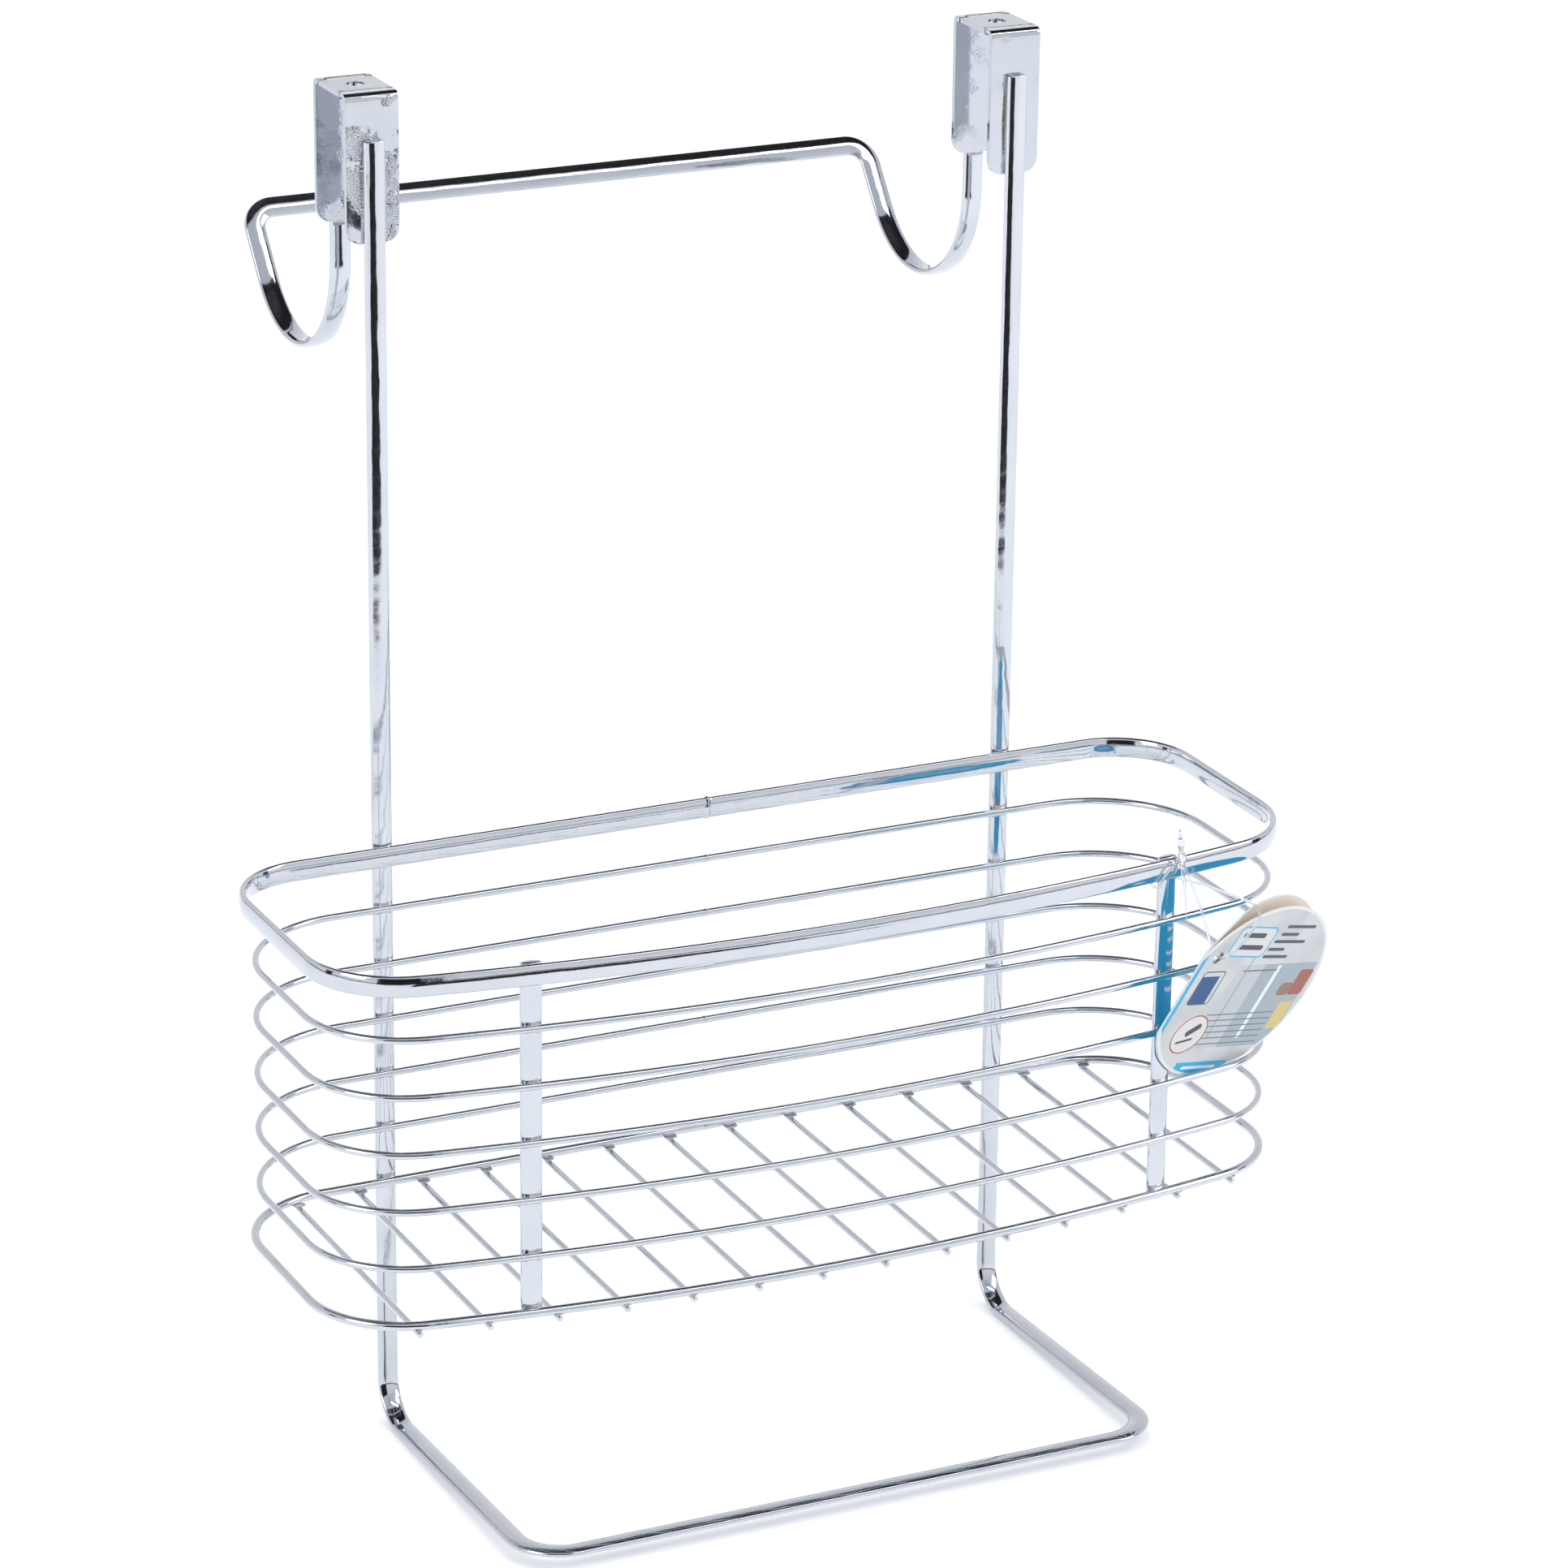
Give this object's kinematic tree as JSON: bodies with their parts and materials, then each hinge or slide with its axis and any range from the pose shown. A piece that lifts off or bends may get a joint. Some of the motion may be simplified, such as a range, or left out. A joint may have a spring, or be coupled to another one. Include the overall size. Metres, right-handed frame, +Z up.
{
  "type": "shower caddy",
  "caption": "Chromed wire shower basket with a towel rail below, hung over a glass panel's top edge by two brackets, with a hooked rail behind.",
  "frame": {"origin": "midway between the two brackets, in the middle of the panel's thickness, on the underside of the bracket tops, which is the panel's top edge", "axes": "+X to the right, +Y to the back through the panel, +Z up; the basket is on the -Y side"},
  "size_m": [0.2932, 0.2112, 0.3827],
  "materials": {
    "chrome": "bright decorative chrome plating on flat-oval strip",
    "chrome_wire": "bright decorative chrome plating on round wire",
    "chromed_sheet": "chrome plating on bent sheet, slightly rippled",
    "card": "folded printed card, satin coated, uncoated inside",
    "clear_plastic": "clear moulded plastic thread"
  },
  "bodies": {
    "caddy": {"bracket_left": "chromed_sheet", "bracket_right": "chromed_sheet", "front_frame": "chrome", "rear_rail": "chrome", "basket_rim": "chrome", "basket_ring_1": "chrome_wire", "basket_ring_2": "chrome_wire", "basket_ring_3": "chrome_wire", "basket_ring_4": "chrome_wire", "basket_ring_5": "chrome_wire", "base_ring": "chrome_wire", "floor_wire_01": "chrome_wire", "floor_wire_02": "chrome_wire", "floor_wire_03": "chrome_wire", "floor_wire_04": "chrome_wire", "floor_wire_05": "chrome_wire", "floor_wire_06": "chrome_wire", "floor_wire_07": "chrome_wire", "floor_wire_08": "chrome_wire", "floor_wire_09": "chrome_wire", "floor_wire_10": "chrome_wire", "floor_wire_11": "chrome_wire", "floor_wire_12": "chrome_wire", "floor_wire_13": "chrome_wire", "floor_wire_14": "chrome_wire", "front_post_left": "chrome", "front_post_right": "chrome", "tag_lock": "clear_plastic", "tag_loop": "clear_plastic"},
    "tag": {"hang_tag": "card"}
  },
  "joints": [
    {"name": "tag_lift", "type": "slide", "parent": "caddy", "child": "tag", "axis": [0.0948, -0.3691, 0.9245], "range_m": [0, 0.008], "deforming": ["tag_loop"]}
  ]
}
